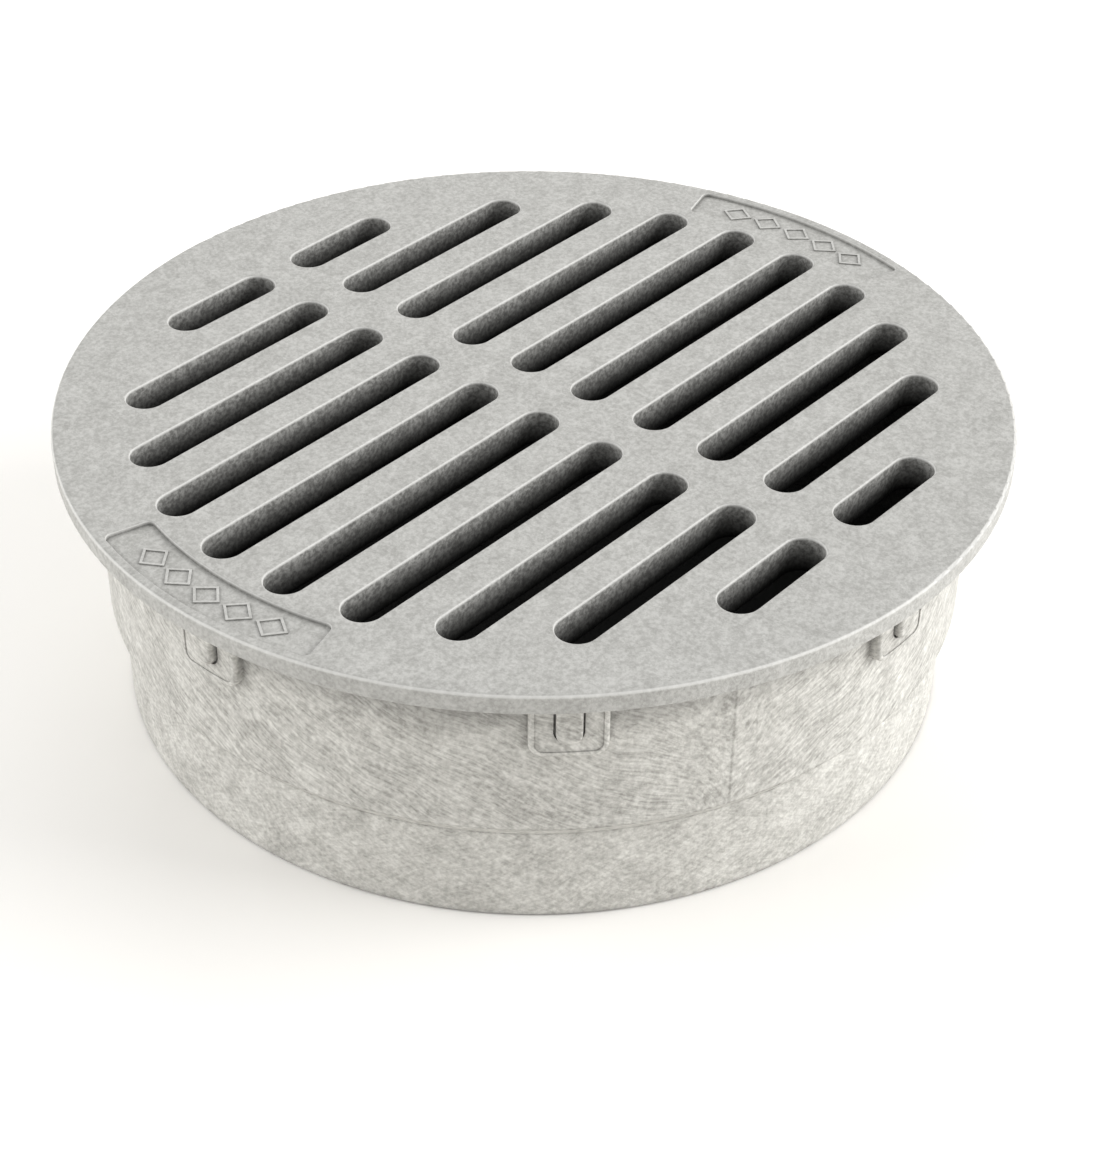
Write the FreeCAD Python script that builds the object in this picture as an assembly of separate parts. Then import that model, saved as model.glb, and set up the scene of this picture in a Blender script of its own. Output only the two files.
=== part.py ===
import FreeCAD, Part
import math
import os

# Round drain cover: a slotted grate that sits in the top of a pipe collar.
# Millimetres, +Z up. The origin is the centre of the collar's bottom face, and the slots run along X.

# Collar: the outside fits a pipe, the bore takes the grate.
SPIGOT_DIAMETER = 202.6
SPIGOT_LENGTH = 24.5
SPIGOT_WALL = 2.8
LEAD_STEP = 2.8
LEAD_HEIGHT = 3.6
COLLAR_HEIGHT = 67.8
FOOT_EDGE_RADIUS = 0.5
MOUTH_CHAMFER = 0.8

# Grate: a flange that rests on the collar, and a plug of bars that hangs in the bore.
FLANGE_OVERHANG = 8.9
FLANGE_THICKNESS = 4.8
FLANGE_TOP_RADIUS = 0.8
FLANGE_UNDER_RADIUS = 0.4
BAR_DEPTH = 9.0
PLUG_CLEARANCE = 0.4
PLUG_CHAMFER = 1.0

# Slots: two columns of parallel slots, cut to the circle of the plug.
SLOT_WIDTH = 9.6
SLOT_PITCH = 19.0
SLOT_EDGE_RADIUS = 0.5
CENTRE_WEB = 9.4
PLUG_RING = 1.8
SHORTEST_SLOT_RUN = 6.0

# Recessed panels on the flange, at the two ends of the slots, with plain raised diamond outlines.
PANEL_HALF_ANGLE = 16.5
PANEL_WIDTH = 11.6
PANEL_MARGIN = 2.3
PANEL_DEPTH = 1.0
PANEL_CORNER_RADIUS = 1.8
PANEL_EDGE_RADIUS = 0.35
DIAMOND_COUNT = 5
DIAMOND_LENGTH = 8.2
DIAMOND_WIDTH = 7.4
DIAMOND_LINE = 0.6
DIAMOND_SPACING_ANGLE = 5.0
DIAMOND_HEIGHT = 0.3

# Keepers: raised pads round the top of the collar, each with a rim, a face and an open-topped channel.
KEEPER_COUNT = 8
KEEPER_WIDTH = 16.9
KEEPER_HEIGHT = 17.1
KEEPER_PROUD = 2.4
KEEPER_CORNER_RADIUS = 3.2
KEEPER_EDGE_RADIUS = 0.8
RIM_WIDTH = 1.3
RIM_EDGE_RADIUS = 0.2
FACE_DEPTH = 0.3
CHANNEL_DEPTH = 1.1
CHANNEL_FOOT = 3.7

# Tongues: springy blades that hang from the flange, one in each keeper's channel.
TONGUE_WIDTH = 5.6
TONGUE_THICKNESS = 2.4
TONGUE_END_RADIUS = 2.4
TONGUE_EDGE_RADIUS = 0.9
TONGUE_BACK_GAP = 0.3
TONGUE_SIDE_GAP = 0.5
ROOT_CLEARANCE = 0.1
ROOT_END_GAP = 0.3

# Sizes that follow from the ones above.
spigot_radius = SPIGOT_DIAMETER / 2
skirt_radius = spigot_radius + LEAD_STEP
bore_radius = spigot_radius - SPIGOT_WALL
flange_radius = skirt_radius + FLANGE_OVERHANG
plug_radius = bore_radius - PLUG_CLEARANCE
top_z = COLLAR_HEIGHT + FLANGE_THICKNESS
plug_bottom_z = top_z - BAR_DEPTH
slot_end_radius = plug_radius - PLUG_RING - SLOT_WIDTH / 2
rim_radius = skirt_radius + KEEPER_PROUD
face_radius = rim_radius - FACE_DEPTH
channel_floor_radius = face_radius - CHANNEL_DEPTH
channel_height = KEEPER_HEIGHT - CHANNEL_FOOT
tongue_length = channel_height - TONGUE_SIDE_GAP
root_radius = channel_floor_radius + TONGUE_BACK_GAP + TONGUE_THICKNESS / 2
keeper_angles = [360.0 / KEEPER_COUNT * i for i in range(KEEPER_COUNT)]

ORIGIN = FreeCAD.Vector(0, 0, 0)
UP = FreeCAD.Vector(0, 0, 1)
ALONG_X = FreeCAD.Vector(1, 0, 0)
ALONG_Y = FreeCAD.Vector(0, 1, 0)


def vec(x, y, z=0.0):
    return FreeCAD.Vector(x, y, z)


def turned(shape, degrees):
    """A copy of the shape, turned about the cover's own axis."""
    copy = shape.copy()
    copy.rotate(ORIGIN, UP, degrees)
    return copy


def disc(radius, z_low, z_high):
    return Part.makeCylinder(radius, z_high - z_low, vec(0, 0, z_low), UP)


def edges_at(shape, z, low_radius, high_radius):
    """Edges that lie flat at height z, all between two distances from the axis."""
    found = []
    for edge in shape.Edges:
        box = edge.BoundBox
        if abs(box.ZMin - z) > 1e-4 or abs(box.ZMax - z) > 1e-4:
            continue
        reach = [math.hypot(p.x, p.y) for p in edge.discretize(9)]
        if min(reach) > low_radius and max(reach) < high_radius:
            found.append(edge)
    return found


def outline_at(shape, radius):
    """Edges on the cylinder of this radius, but not the ones in the plane of the collar's top."""
    found = []
    for edge in shape.Edges:
        if edge.BoundBox.ZMin > COLLAR_HEIGHT - 1e-4:
            continue
        if all(abs(math.hypot(p.x, p.y) - radius) < 1e-3 for p in edge.discretize(9)):
            found.append(edge)
    return found


def tab_face(width, height, corner_radius, x, z_top):
    """An upright face across X, with square top corners and rounded lower ones."""
    half = width / 2
    z_low = z_top - height
    knee = corner_radius * (1 - math.sqrt(0.5))
    left_arc = Part.Arc(
        vec(x, -half, z_low + corner_radius),
        vec(x, -half + knee, z_low + knee),
        vec(x, -half + corner_radius, z_low),
    )
    right_arc = Part.Arc(
        vec(x, half - corner_radius, z_low),
        vec(x, half - knee, z_low + knee),
        vec(x, half, z_low + corner_radius),
    )
    edges = [
        Part.makeLine(vec(x, half, z_top), vec(x, -half, z_top)),
        Part.makeLine(vec(x, -half, z_top), vec(x, -half, z_low + corner_radius)),
        left_arc.toShape(),
        Part.makeLine(vec(x, -half + corner_radius, z_low), vec(x, half - corner_radius, z_low)),
        right_arc.toShape(),
        Part.makeLine(vec(x, half, z_low + corner_radius), vec(x, half, z_top)),
    ]
    return Part.Face(Part.Wire(edges))


def tab(width, height, corner_radius, x_low, x_high, z_top):
    """A tab-shaped block that faces +X, from x_low out to x_high."""
    face = tab_face(width, height, corner_radius, x_low, z_top)
    return face.extrude(ALONG_X * (x_high - x_low))


def collar_tube():
    """The spigot, its lead-in cone and the wider skirt above it, bored right through."""
    lead_top_z = SPIGOT_LENGTH + LEAD_HEIGHT
    outline = [
        vec(bore_radius, 0, 0),
        vec(spigot_radius, 0, 0),
        vec(spigot_radius, 0, SPIGOT_LENGTH),
        vec(skirt_radius, 0, lead_top_z),
        vec(skirt_radius, 0, COLLAR_HEIGHT),
        vec(bore_radius + MOUTH_CHAMFER, 0, COLLAR_HEIGHT),
        vec(bore_radius, 0, COLLAR_HEIGHT - MOUTH_CHAMFER),
        vec(bore_radius, 0, 0),
    ]
    section = Part.Face(Part.makePolygon(outline))
    tube = section.revolve(ORIGIN, UP, 360)
    foot_edges = edges_at(tube, 0, 0, spigot_radius + 1)
    return tube.makeFillet(FOOT_EDGE_RADIUS, foot_edges)


def hollow(width, height, corner_radius, floor_radius):
    """Room cut in a keeper at +X: open at the top, down to a floor that curves with the collar."""
    over_top = 1.0
    block = tab(width, height + over_top, corner_radius,
                bore_radius, rim_radius + 1, COLLAR_HEIGHT + over_top)
    return block.cut(disc(floor_radius, 0, top_z))


def make_keeper():
    """One keeper at +X, with its root sunk in the skirt."""
    block = tab(KEEPER_WIDTH, KEEPER_HEIGHT, KEEPER_CORNER_RADIUS,
                (bore_radius + skirt_radius) / 2, rim_radius + 1, COLLAR_HEIGHT)
    keeper = block.common(disc(rim_radius, 0, COLLAR_HEIGHT))
    keeper = keeper.makeFillet(KEEPER_EDGE_RADIUS, outline_at(keeper, rim_radius))
    face = hollow(KEEPER_WIDTH - 2 * RIM_WIDTH, KEEPER_HEIGHT - RIM_WIDTH,
                  KEEPER_CORNER_RADIUS - RIM_WIDTH, face_radius)
    keeper = keeper.cut(face)
    inside_y = KEEPER_WIDTH / 2 - RIM_WIDTH + 0.01
    inside_z = COLLAR_HEIGHT - KEEPER_HEIGHT + RIM_WIDTH - 0.01
    round_face = []
    for edge in outline_at(keeper, rim_radius):
        box = edge.BoundBox
        if box.YMax < inside_y and box.YMin > -inside_y and box.ZMin > inside_z:
            round_face.append(edge)
    keeper = keeper.makeFillet(RIM_EDGE_RADIUS, round_face)
    channel = hollow(TONGUE_WIDTH + 2 * TONGUE_SIDE_GAP, channel_height,
                     TONGUE_END_RADIUS + TONGUE_SIDE_GAP, channel_floor_radius)
    return keeper.cut(channel)


def make_collar():
    keeper = make_keeper()
    return collar_tube().fuse([turned(keeper, angle) for angle in keeper_angles]).removeSplitter()


def slot_prism(x_in, x_out, y):
    """One slot as a round-ended block; x_in and x_out are the centres of its ends."""
    half = SLOT_WIDTH / 2
    z_low = plug_bottom_z - 1
    inner = [vec(x_in, y + half, z_low), vec(x_in - half, y, z_low), vec(x_in, y - half, z_low)]
    outer = [vec(x_out, y - half, z_low), vec(x_out + half, y, z_low), vec(x_out, y + half, z_low)]
    edges = [
        Part.Arc(inner[0], inner[1], inner[2]).toShape(),
        Part.makeLine(inner[2], outer[0]),
        Part.Arc(outer[0], outer[1], outer[2]).toShape(),
        Part.makeLine(outer[2], inner[0]),
    ]
    face = Part.Face(Part.Wire(edges))
    return face.extrude(UP * (BAR_DEPTH + 2))


def slot_prisms():
    """Every slot that fits: rows half a pitch either side of the middle, two columns."""
    prisms = []
    x_in = (CENTRE_WEB + SLOT_WIDTH) / 2
    y = SLOT_PITCH / 2
    while y < slot_end_radius:
        x_out = math.sqrt(slot_end_radius ** 2 - y ** 2)
        if x_out - x_in >= SHORTEST_SLOT_RUN:
            first = slot_prism(x_in, x_out, y)
            prisms.append(first)
            prisms.append(turned(first, 180))
            across = slot_prism(x_in, x_out, -y)
            prisms.append(across)
            prisms.append(turned(across, 180))
        y += SLOT_PITCH
    return prisms


def panel_recess():
    """The curved recess of one panel, centred on +X."""
    outer = flange_radius - PANEL_MARGIN
    inner = outer - PANEL_WIDTH
    z_floor = top_z - PANEL_DEPTH
    band = disc(outer, z_floor, top_z + 1).cut(disc(inner, z_floor, top_z + 1))
    reach = flange_radius * 2
    rise = reach * math.tan(math.radians(PANEL_HALF_ANGLE))
    corners = [vec(0, 0, z_floor), vec(reach, -rise, z_floor), vec(reach, rise, z_floor), vec(0, 0, z_floor)]
    wedge = Part.Face(Part.makePolygon(corners)).extrude(UP * (PANEL_DEPTH + 1))
    recess = band.common(wedge)
    upright = [e for e in recess.Edges if e.BoundBox.ZLength > PANEL_DEPTH]
    return recess.makeFillet(PANEL_CORNER_RADIUS, upright)


def diamond(length, width, height):
    """A four-sided prism, length along Y and width along X."""
    right = vec(width / 2, 0)
    far = vec(0, length / 2)
    outline = Part.makePolygon([-far, right, far, -right, -far])
    return Part.Face(outline).extrude(UP * height)


def diamonds():
    """The row of raised outlines on the floor of one panel."""
    middle = flange_radius - PANEL_MARGIN - PANEL_WIDTH / 2
    across_flats = DIAMOND_LENGTH * DIAMOND_WIDTH / math.hypot(DIAMOND_LENGTH, DIAMOND_WIDTH)
    inner_share = 1 - 2 * DIAMOND_LINE / across_flats
    outside = diamond(DIAMOND_LENGTH, DIAMOND_WIDTH, DIAMOND_HEIGHT)
    inside = diamond(DIAMOND_LENGTH * inner_share, DIAMOND_WIDTH * inner_share, DIAMOND_HEIGHT)
    one = outside.cut(inside)
    one.translate(vec(middle, 0, top_z - PANEL_DEPTH))
    first_angle = -DIAMOND_SPACING_ANGLE * (DIAMOND_COUNT - 1) / 2
    return [turned(one, first_angle + i * DIAMOND_SPACING_ANGLE) for i in range(DIAMOND_COUNT)]


def root_groove():
    """The groove under the flange that one tongue's root turns in, at +X."""
    length = TONGUE_WIDTH + 2 * ROOT_END_GAP
    start = vec(root_radius, -length / 2, COLLAR_HEIGHT)
    return Part.makeCylinder(TONGUE_THICKNESS / 2 + ROOT_CLEARANCE, length, start, ALONG_Y)


def make_grate():
    flange = disc(flange_radius, COLLAR_HEIGHT, top_z)
    flange = flange.makeFillet(FLANGE_TOP_RADIUS, edges_at(flange, top_z, 0, flange_radius + 1))
    flange = flange.makeFillet(FLANGE_UNDER_RADIUS, edges_at(flange, COLLAR_HEIGHT, 0, flange_radius + 1))
    plug = disc(plug_radius, plug_bottom_z, COLLAR_HEIGHT + FLANGE_THICKNESS / 2)
    plug = plug.makeChamfer(PLUG_CHAMFER, edges_at(plug, plug_bottom_z, 0, plug_radius + 1))
    grate = flange.fuse(plug).cut(slot_prisms())
    slot_edges = edges_at(grate, top_z, 0, slot_end_radius + SLOT_WIDTH)
    grate = grate.makeFillet(SLOT_EDGE_RADIUS, slot_edges)
    recess = panel_recess()
    grate = grate.cut([recess, turned(recess, 180)])
    panel_edges = edges_at(grate, top_z, flange_radius - PANEL_MARGIN - PANEL_WIDTH - 1, flange_radius - 1)
    grate = grate.makeFillet(PANEL_EDGE_RADIUS, panel_edges)
    raised = diamonds()
    grate = grate.fuse(raised + [turned(one, 180) for one in raised])
    groove = root_groove()
    return grate.cut([turned(groove, angle) for angle in keeper_angles]).removeSplitter()


def make_tongue():
    """One tongue at +X: a round root, and a blade with a rounded end and soft front edges."""
    inner_x = root_radius - TONGUE_THICKNESS / 2
    outer_x = root_radius + TONGUE_THICKNESS / 2
    root_start = vec(root_radius, -TONGUE_WIDTH / 2, COLLAR_HEIGHT)
    root = Part.makeCylinder(TONGUE_THICKNESS / 2, TONGUE_WIDTH, root_start, ALONG_Y)
    blade = tab(TONGUE_WIDTH, tongue_length, TONGUE_END_RADIUS, inner_x, outer_x, COLLAR_HEIGHT)
    front = [e for e in blade.Edges if e.BoundBox.XMin > outer_x - 1e-4]
    front = [e for e in front if e.BoundBox.ZMin < COLLAR_HEIGHT - 1e-4]
    blade = blade.makeFillet(TONGUE_EDGE_RADIUS, front)
    return blade.fuse(root).removeSplitter()


def save(shape, node):
    solids = shape.Solids
    if len(solids) != 1 or not shape.isValid():
        raise RuntimeError(node + " is not one sound solid")
    solids[0].exportStep("parts/" + node + ".step")
    print(node, round(solids[0].Volume), "mm3")


os.makedirs("parts", exist_ok=True)
save(make_collar(), "collar")
save(make_grate(), "grate")
tongue = make_tongue()
for i in range(KEEPER_COUNT):
    save(turned(tongue, keeper_angles[i]), "locking_tongue_" + str(i + 1))
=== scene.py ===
import math
import bpy
import numpy as np
from mathutils import Matrix, Vector


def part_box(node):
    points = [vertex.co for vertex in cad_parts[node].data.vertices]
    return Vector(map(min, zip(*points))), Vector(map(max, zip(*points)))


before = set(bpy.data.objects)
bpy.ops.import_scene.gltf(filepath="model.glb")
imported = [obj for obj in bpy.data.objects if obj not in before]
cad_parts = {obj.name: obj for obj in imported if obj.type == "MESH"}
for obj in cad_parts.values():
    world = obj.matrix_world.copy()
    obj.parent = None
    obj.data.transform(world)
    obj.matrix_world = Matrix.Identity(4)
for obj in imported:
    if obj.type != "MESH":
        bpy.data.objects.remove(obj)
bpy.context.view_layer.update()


# ---- Collar: the short pipe that the cover stands on, injection moulded in recycled polyethylene.
# The melt flows round it from the gates, which leaves slanting silvery strokes in the skin and a
# feather-shaped weld line where two flows meet. A double crease marks the step down to the spigot.

def shader_node(tree, kind, inputs=(), **settings):
    """Adds a node, sets its properties, and gives each named input a value or a link."""
    made = tree.nodes.new(kind)
    for name, value in settings.items():
        setattr(made, name, value)
    for name, value in dict(inputs).items():
        if isinstance(value, bpy.types.NodeSocket):
            tree.links.new(value, made.inputs[name])
        else:
            made.inputs[name].default_value = value
    return made


def arithmetic(tree, operation, first, second=0.0, third=0.0, clamp=False):
    """One step of arithmetic on numbers or sockets."""
    made = shader_node(tree, "ShaderNodeMath", {0: first, 1: second, 2: third}, operation=operation)
    made.use_clamp = clamp
    return made.outputs[0]


def weighted_sum(tree, *terms):
    """The first value times its weight, plus the second value times its weight, and so on."""
    total = arithmetic(tree, "MULTIPLY", *terms[0])
    for value, weight in terms[1:]:
        total = arithmetic(tree, "MULTIPLY_ADD", value, weight, total)
    return total


def mix_numbers(tree, factor, first, second):
    """first where factor is 0 and second where it is 1."""
    gap = arithmetic(tree, "SUBTRACT", second, first)
    return arithmetic(tree, "MULTIPLY_ADD", gap, factor, first)


def ramp_between(tree, value, low, high, to_low=0.0, to_high=1.0):
    """A smooth step: to_low below low, to_high above high."""
    made = shader_node(tree, "ShaderNodeMapRange", {"Value": value, "From Min": low, "From Max": high,
                                                   "To Min": to_low, "To Max": to_high})
    made.interpolation_type = "SMOOTHSTEP"
    return made.outputs["Result"]


def spread_noise(tree, place, scale, low, high, **inputs):
    """Noise read at a place, stretched so that low becomes 0 and high becomes 1."""
    noise = shader_node(tree, "ShaderNodeTexNoise", {"Vector": place, "Scale": scale, **inputs})
    return ramp_between(tree, noise.outputs["Fac"], low, high)


def new_group(name, inputs, outputs):
    """An empty shader group with these sockets; returns the tree and its input and output nodes."""
    tree = bpy.data.node_groups.new(name, "ShaderNodeTree")
    for label, kind in inputs:
        tree.interface.new_socket(label, in_out="INPUT", socket_type=kind)
    for label, kind in outputs:
        tree.interface.new_socket(label, in_out="OUTPUT", socket_type=kind)
    return tree, tree.nodes.new("NodeGroupInput"), tree.nodes.new("NodeGroupOutput")


wander_scale = 45.0
wander_angle = 0.08


def flow_strokes_group():
    """Short strokes on a round wall: the position is turned about Z by Twist times its height, and
    noise is read there, fine round the wall and Stretch times coarser in height. A slow noise
    turns it up to wander_angle radians more or less, so that the strokes aren't quite even."""
    tree, given, result = new_group(
        "flow_strokes",
        [("Position", "NodeSocketVector"), ("Twist", "NodeSocketFloat"), ("Fineness", "NodeSocketFloat"),
         ("Stretch", "NodeSocketFloat"), ("Seed", "NodeSocketFloat")],
        [("Stroke", "NodeSocketFloat")])
    place = given.outputs["Position"]
    fineness = given.outputs["Fineness"]
    parts = shader_node(tree, "ShaderNodeSeparateXYZ", {0: place})
    bend = shader_node(tree, "ShaderNodeTexNoise", {"Vector": place, "Scale": wander_scale, "Detail": 1.0})
    wander = arithmetic(tree, "MULTIPLY_ADD", bend.outputs["Fac"], 2 * wander_angle, -wander_angle)
    angle = arithmetic(tree, "MULTIPLY_ADD", parts.outputs["Z"], given.outputs["Twist"], wander)
    turned = shader_node(tree, "ShaderNodeVectorRotate", {"Vector": place, "Angle": angle},
                         rotation_type="Z_AXIS")
    coarse = arithmetic(tree, "DIVIDE", fineness, given.outputs["Stretch"])
    scale = shader_node(tree, "ShaderNodeCombineXYZ", {"X": fineness, "Y": fineness, "Z": coarse})
    stretched = shader_node(tree, "ShaderNodeVectorMath", {0: turned.outputs[0], 1: scale.outputs[0]},
                            operation="MULTIPLY")
    moved = shader_node(tree, "ShaderNodeVectorMath", {0: stretched.outputs[0], 1: given.outputs["Seed"]},
                        operation="ADD")
    stroke = spread_noise(tree, moved.outputs[0], 1.0, low=0.30, high=0.70, Detail=2.0, Roughness=0.55)
    tree.links.new(stroke, result.inputs["Stroke"])
    return tree


def moulded_skin_group():
    """The skin of the moulding: a fine pebble grain, and slow cloudy patches of lighter resin."""
    tree, given, result = new_group(
        "moulded_skin",
        [("Position", "NodeSocketVector"), ("Grain Size", "NodeSocketFloat"),
         ("Patch Size", "NodeSocketFloat")],
        [("Grain", "NodeSocketFloat"), ("Patch", "NodeSocketFloat")])
    place = given.outputs["Position"]
    per_grain = arithmetic(tree, "DIVIDE", 1.0, given.outputs["Grain Size"])
    per_patch = arithmetic(tree, "DIVIDE", 1.0, given.outputs["Patch Size"])
    grain = spread_noise(tree, place, per_grain, low=0.30, high=0.70, Detail=3.0, Roughness=0.65)
    patch = spread_noise(tree, place, per_patch, low=0.25, high=0.75, Detail=4.0, Roughness=0.6,
                         Distortion=0.8)
    tree.links.new(grain, result.inputs["Grain"])
    tree.links.new(patch, result.inputs["Patch"])
    return tree


crevice_hardness = 1.4


def crevice_dirt_group():
    """Painted shade where the surface is hemmed in within Reach, in corners, channels and joints: the
    share of its colour that is left falls from 1 towards Kept."""
    tree, given, result = new_group(
        "crevice_shade",
        [("Reach", "NodeSocketFloat"), ("Kept", "NodeSocketFloat")],
        [("Left", "NodeSocketFloat")])
    kept = given.outputs["Kept"]
    near = shader_node(tree, "ShaderNodeAmbientOcclusion", {"Distance": given.outputs["Reach"]}, samples=8)
    openness = arithmetic(tree, "POWER", near.outputs["AO"], crevice_hardness)
    lost = arithmetic(tree, "SUBTRACT", 1.0, kept)
    tree.links.new(arithmetic(tree, "MULTIPLY_ADD", openness, lost, kept), result.inputs["Left"])
    return tree


flow_strokes = flow_strokes_group()
moulded_skin = moulded_skin_group()
crevice_shade = crevice_dirt_group()


def place_group(tree, group, place=None, **values):
    """Puts a shader group in a material, fed with the position if it takes one, and its own
    values; returns its outputs."""
    made = shader_node(tree, "ShaderNodeGroup", {}, node_tree=group)
    if place is not None:
        tree.links.new(place, made.inputs["Position"])
    for label, value in values.items():
        made.inputs[label.replace("_", " ")].default_value = value
    return made.outputs


def new_material(name):
    """A material with only a Principled BSDF and its output."""
    made = bpy.data.materials.new(name)
    made.use_nodes = True
    return made, made.node_tree, made.node_tree.nodes["Principled BSDF"]


def place_on_piece(tree):
    """The position on a piece, its X, Y and Z, and its distance from the cover's own axis."""
    place = shader_node(tree, "ShaderNodeTexCoord").outputs["Object"]
    parts = shader_node(tree, "ShaderNodeSeparateXYZ", {0: place}).outputs
    flat = shader_node(tree, "ShaderNodeCombineXYZ", {"X": parts["X"], "Y": parts["Y"]})
    length = shader_node(tree, "ShaderNodeVectorMath", {0: flat.outputs[0]}, operation="LENGTH")
    return place, parts, length.outputs["Value"]


def blend_colours(tree, factor, first, second):
    """The colour between two colours, by a socket from 0 to 1."""
    made = tree.nodes.new("ShaderNodeMix")
    made.data_type = "RGBA"
    tree.links.new(factor, made.inputs[0])
    for index, value in ((6, first), (7, second)):
        if isinstance(value, bpy.types.NodeSocket):
            tree.links.new(value, made.inputs[index])
        else:
            made.inputs[index].default_value = (*value, 1.0)
    return made.outputs[2]


black = (0.0, 0.0, 0.0)


def dimmed(tree, colour, share):
    """The colour with only this share of its light left."""
    return blend_colours(tree, share, black, colour)


relief_strength = 0.5


def give_relief(tree, shader, height, depth):
    """Bumps the surface by a height from 0 to 1, depth metres deep, at relief_strength."""
    bump = shader_node(tree, "ShaderNodeBump",
                       {"Height": height, "Distance": depth, "Strength": relief_strength})
    tree.links.new(bump.outputs[0], shader.inputs["Normal"])


def paint_all(piece, material):
    """Puts one material in every slot of a piece."""
    for slot in piece.material_slots:
        slot.material = material


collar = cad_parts["collar"]
spigot_top = 0.0245
lead_top = 0.0281
bore_radius = 0.0985
skirt_radius = 0.1041

moulded_sheen = 0.3
skirt_dark = (0.24, 0.233, 0.213)
skirt_light = (0.70, 0.69, 0.65)
skirt_dull = 0.62
skirt_silky = 0.42
skirt_relief = 0.00025
stroke_share = 0.36
grain_share = 0.36
patch_share = 1.0 - stroke_share - grain_share

stroke_fineness = 760.0
stroke_stretch = 1.5
stroke_twist = 16.0
feather_twist = 7.0
feather_near = 0.004
feather_far = 0.014
weld_angle = math.radians(-115.0)
weld_half = 0.001
seam_half = 0.0006
seam_depth = 0.25
crease_half = 0.0005
crease_shade_depth = 0.22
crease_blend = 0.005

foot_gain = 0.05
bore_shade_share = 0.08
bore_fade_start = bore_radius + 0.0003
bore_fade_end = bore_radius + 0.0018
proud_start = skirt_radius + 0.0006
proud_end = skirt_radius + 0.0018
# painted shade under the flange: colour darkens between these heights towards the flange's underside
flange_shade_low = 0.0520
flange_shade_high = 0.0635
flange_shade_kept = 0.58


def skirt_strokes(tree, place, parts, above_crease):
    """Strokes that slant one way on one side of the weld and the other way past it, steeper
    near it, and cross each other on the spigot; and the weld's own thin seam."""
    def strokes(twist, seed):
        return place_group(tree, flow_strokes, place, Twist=twist, Fineness=stroke_fineness,
                           Stretch=stroke_stretch, Seed=seed)["Stroke"]

    falling = strokes(stroke_twist, seed=0.0)
    rising = strokes(-stroke_twist, seed=7.3)
    steep_falling = strokes(feather_twist, seed=3.1)
    steep_rising = strokes(-feather_twist, seed=5.7)
    across_weld = arithmetic(tree, "ADD",
                             arithmetic(tree, "MULTIPLY", parts["X"], -math.sin(weld_angle)),
                             arithmetic(tree, "MULTIPLY", parts["Y"], math.cos(weld_angle)))
    off_weld = arithmetic(tree, "ABSOLUTE", across_weld)
    past_weld = ramp_between(tree, across_weld, -weld_half, weld_half)
    broad = mix_numbers(tree, past_weld, falling, rising)
    feather = mix_numbers(tree, past_weld, steep_falling, steep_rising)
    near_weld = ramp_between(tree, off_weld, feather_near, feather_far, 1.0, 0.0)
    upper = mix_numbers(tree, near_weld, broad, feather)
    lower = arithmetic(tree, "MULTIPLY", arithmetic(tree, "ADD", falling, rising), 0.5)
    stroke = mix_numbers(tree, above_crease, lower, upper)
    on_weld = ramp_between(tree, off_weld, 0.0, seam_half, 1.0, 0.0)
    return stroke, arithmetic(tree, "MULTIPLY", on_weld, above_crease)


def crease_line(tree, height, crease_height):
    """Where painted shade runs along a crease round the collar at this height: 1 on the crease, falling to
    0 beside it.
    """
    off_crease = arithmetic(tree, "ABSOLUTE", arithmetic(tree, "SUBTRACT", height, crease_height))
    return ramp_between(tree, off_crease, 0.0, crease_half, 1.0, 0.0)


def collar_plastic():
    """Streaked grey resin, a little paler at the foot, darker along the seam, with painted shade along the
    creases.
    Painted shade darkens it under the flange and in crevices, and makes it near black inside the bore."""
    made, tree, shader = new_material("streaked recycled polyethylene")
    place, parts, off_axis = place_on_piece(tree)
    height = parts["Z"]
    skin = place_group(tree, moulded_skin, place, Grain_Size=0.0012, Patch_Size=0.009)
    above_crease = ramp_between(tree, height, spigot_top, spigot_top + crease_blend)
    stroke, seam = skirt_strokes(tree, place, parts, above_crease)
    # the two creases carry painted shade as thin dark lines
    shade = weighted_sum(tree, (stroke, stroke_share), (skin["Grain"], grain_share),
                         (skin["Patch"], patch_share), (seam, -seam_depth),
                         (crease_line(tree, height, spigot_top), -crease_shade_depth),
                         (crease_line(tree, height, lead_top), -crease_shade_depth))
    paler = arithmetic(tree, "ADD", shade, foot_gain)
    shade = arithmetic(tree, "MULTIPLY_ADD", above_crease, -foot_gain, paler)
    colour = blend_colours(tree, shade, skirt_dark, skirt_light)
    # painted shade: the colour is near black inside the bore
    outside = ramp_between(tree, off_axis, bore_fade_start, bore_fade_end, bore_shade_share, 1.0)
    colour = dimmed(tree, colour, outside)
    # painted shade under the flange, left off where a keeper or tongue stands proud of the skirt
    proud = ramp_between(tree, off_axis, proud_start, proud_end)
    sheltered = ramp_between(tree, height, flange_shade_low, flange_shade_high, 1.0, flange_shade_kept)
    colour = dimmed(tree, colour, mix_numbers(tree, proud, sheltered, 1.0))
    # painted shade in the collar's corners, channels and joints
    colour = dimmed(tree, colour, place_group(tree, crevice_shade, Reach=0.002, Kept=0.5)["Left"])
    tree.links.new(colour, shader.inputs["Base Color"])
    tree.links.new(mix_numbers(tree, stroke, skirt_dull, skirt_silky), shader.inputs["Roughness"])
    give_relief(tree, shader, shade, skirt_relief)
    shader.inputs["Specular IOR Level"].default_value = moulded_sheen
    return made


collar_finish = collar_plastic()
paint_all(collar, collar_finish)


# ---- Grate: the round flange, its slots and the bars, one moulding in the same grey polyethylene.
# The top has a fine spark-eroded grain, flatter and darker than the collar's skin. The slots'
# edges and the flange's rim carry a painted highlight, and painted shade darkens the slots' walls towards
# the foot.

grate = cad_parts["grate"]
grate_low, grate_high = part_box("grate")
top_height = grate_high.z
bar_depth = top_height - grate_low.z
slots_reach = 0.0968
slots_blend = 0.0004

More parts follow.
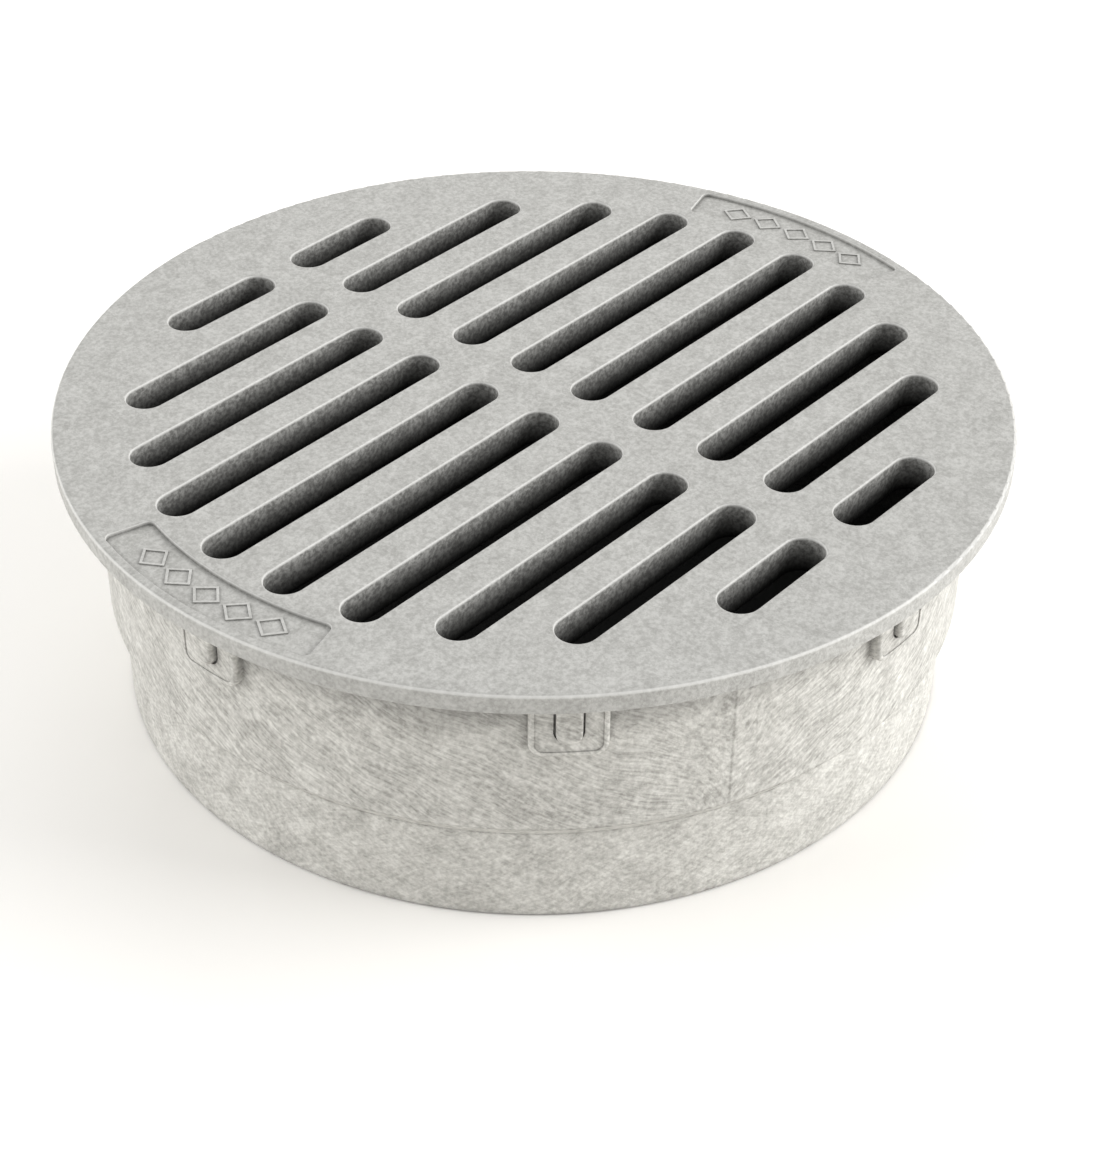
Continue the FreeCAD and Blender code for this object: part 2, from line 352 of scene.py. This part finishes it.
top_dark = (0.30, 0.296, 0.278)
top_light = (0.49, 0.486, 0.464)
top_grain_share = 0.62
top_patch_share = 0.38
top_dull = 0.6
top_silky = 0.5
top_relief = 0.00012
edge_highlight = (0.72, 0.715, 0.69)
edge_highlight_gain = 0.6
edge_start = 0.00002
edge_full = 0.0002
edge_fading = 0.0004
edge_end = 0.0009
wall_start = 0.0004
wall_full = 0.0010
wall_paleness = 0.80
wall_mottle = 0.3
wall_fade = 1.3


def grate_plastic():
    """Grained grey resin, with a painted highlight in a band just below the top. Painted shade darkens
    the walls: down a wall the share of light left is wall_paleness times the height left, as a share of
    the bars' depth, to a power."""
    made, tree, shader = new_material("grained recycled polyethylene")
    place, parts, off_axis = place_on_piece(tree)
    skin = place_group(tree, moulded_skin, place, Grain_Size=0.0010, Patch_Size=0.006)
    grain = skin["Grain"]
    shade = weighted_sum(tree, (grain, top_grain_share), (skin["Patch"], top_patch_share))
    colour = blend_colours(tree, shade, top_dark, top_light)
    below_top = arithmetic(tree, "SUBTRACT", top_height, parts["Z"])
    # painted highlight in a thin band just below the top, on the rounded edges of the slots and the rim
    off_flat = ramp_between(tree, below_top, edge_start, edge_full)
    before_wall = ramp_between(tree, below_top, edge_fading, edge_end, 1.0, 0.0)
    painted_highlight = arithmetic(tree, "MULTIPLY", off_flat, before_wall)
    colour = blend_colours(tree, arithmetic(tree, "MULTIPLY", painted_highlight, edge_highlight_gain), colour, edge_highlight)
    # painted shade down the slots' walls, darker towards the foot and mottled by the grain
    down_wall = arithmetic(tree, "DIVIDE", below_top, bar_depth, clamp=True)
    height_left = arithmetic(tree, "SUBTRACT", 1.0, down_wall, clamp=True)
    unshaded = arithmetic(tree, "POWER", height_left, wall_fade)
    mottle = mix_numbers(tree, grain, wall_paleness * (1 - wall_mottle), wall_paleness * (1 + wall_mottle))
    unshaded = arithmetic(tree, "MULTIPLY", unshaded, mottle)
    unshaded = mix_numbers(tree, ramp_between(tree, below_top, wall_start, wall_full), 1.0, unshaded)
    past_slots = ramp_between(tree, off_axis, slots_reach, slots_reach + slots_blend)
    colour = dimmed(tree, colour, mix_numbers(tree, past_slots, unshaded, 1.0))
    # painted shade in the grate's corners and channels
    colour = dimmed(tree, colour, place_group(tree, crevice_shade, Reach=0.0015, Kept=0.45)["Left"])
    tree.links.new(colour, shader.inputs["Base Color"])
    tree.links.new(mix_numbers(tree, grain, top_dull, top_silky), shader.inputs["Roughness"])
    give_relief(tree, shader, grain, top_relief)
    shader.inputs["Specular IOR Level"].default_value = moulded_sheen
    return made


paint_all(grate, grate_plastic())


# ---- Locking tongues: eight springy blades that hang from the flange into the collar's keepers.
# They are the same grey resin as the collar and show only their outer faces.

tongue_count = 8
for number in range(1, tongue_count + 1):
    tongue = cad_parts["locking_tongue_" + str(number)]
    paint_all(tongue, collar_finish)


# ---- Floor: a plain white sweep, and a black disc of painted shade that shows through the slots.
# Both are a stage for the cover and no part of it.

floor_half = 20.0
floor_drop = 0.0002
floor_white = (0.95, 0.932, 0.90)
shade_disc_radius = bore_radius + 0.001
shade_disc_height = 0.0003
shade_disc_sides = 96
shade_disc_black = (0.012, 0.012, 0.011)


def flat_sheet(name, corners, height, paint_name, colour, roughness):
    """One level face through the corners, in one plain colour."""
    mesh = bpy.data.meshes.new(name)
    mesh.from_pydata([(x, y, height) for x, y in corners.tolist()], [], [tuple(range(len(corners)))])
    sheet = bpy.data.objects.new(name, mesh)
    bpy.context.scene.collection.objects.link(sheet)
    paint, _, shader = new_material(paint_name)
    shader.inputs["Base Color"].default_value = (*colour, 1)
    shader.inputs["Roughness"].default_value = roughness
    mesh.materials.append(paint)
    return sheet


square = np.array([[-1, -1], [1, -1], [1, 1], [-1, 1]])
floor = flat_sheet("floor", floor_half * square, -floor_drop, "white floor", floor_white, roughness=0.7)

# painted shade: a black disc on the floor inside the collar, where only shade falls
angles = np.linspace(0, 2 * np.pi, shade_disc_sides, endpoint=False)
circle = np.stack([np.cos(angles), np.sin(angles)], 1)
shade_disc = flat_sheet("painted shade disc", shade_disc_radius * circle, shade_disc_height, "painted shade black", shade_disc_black,
                   roughness=0.9)


# ---- Light: an even white studio with three large soft lamps, each 3 m from the cover.
# The strongest is at the right, a weaker one at the left, and the weakest behind.

studio_brightness = 0.75
world = bpy.data.worlds.new("studio")
bpy.context.scene.world = world
world.use_nodes = True
world.node_tree.nodes["Background"].inputs["Color"].default_value = (1, 1, 1, 1)
world.node_tree.nodes["Background"].inputs["Strength"].default_value = studio_brightness

lamp_distance = 3.0
lamp_size = 2.0


def soft_lamp(name, azimuth, elevation, power):
    """A square lamp at an azimuth and elevation round the cover, turned to face it."""
    data = bpy.data.lights.new(name, "AREA")
    data.size = lamp_size
    data.energy = power
    lamp = bpy.data.objects.new(name, data)
    turn, rise = math.radians(azimuth), math.radians(elevation)
    outward = Vector((math.cos(turn) * math.cos(rise), math.sin(turn) * math.cos(rise), math.sin(rise)))
    place = outward * lamp_distance
    facing = (-place).to_track_quat("-Z", "Y").to_matrix().to_4x4()
    lamp.matrix_world = Matrix.Translation(place) @ facing
    bpy.context.scene.collection.objects.link(lamp)


soft_lamp("right lamp", azimuth=-49.0, elevation=20.0, power=96.0)
soft_lamp("left lamp", azimuth=131.0, elevation=20.0, power=50.0)
soft_lamp("back lamp", azimuth=41.0, elevation=40.0, power=16.0)


# ---- Camera: 0.59 m from the cover, looking down on it at 37 degrees, with the slots running
# away to the upper right.

camera_data = bpy.data.cameras.new("camera")
camera_data.lens = 73.0
camera_data.sensor_width = 36.0
camera_data.clip_start = 0.01
camera = bpy.data.objects.new("camera", camera_data)
camera_place = Vector((-0.35698, -0.30993, 0.37265))
camera_aim = Vector((0.00313, -0.00369, 0.01625))
camera_roll = math.radians(0.70)
facing = (camera_aim - camera_place).normalized().to_track_quat("-Z", "Y").to_matrix().to_4x4()
camera.matrix_world = Matrix.Translation(camera_place) @ facing @ Matrix.Rotation(camera_roll, 4, "Z")
bpy.context.scene.collection.objects.link(camera)
bpy.context.scene.camera = camera
bpy.context.scene.view_settings.view_transform = "Standard"
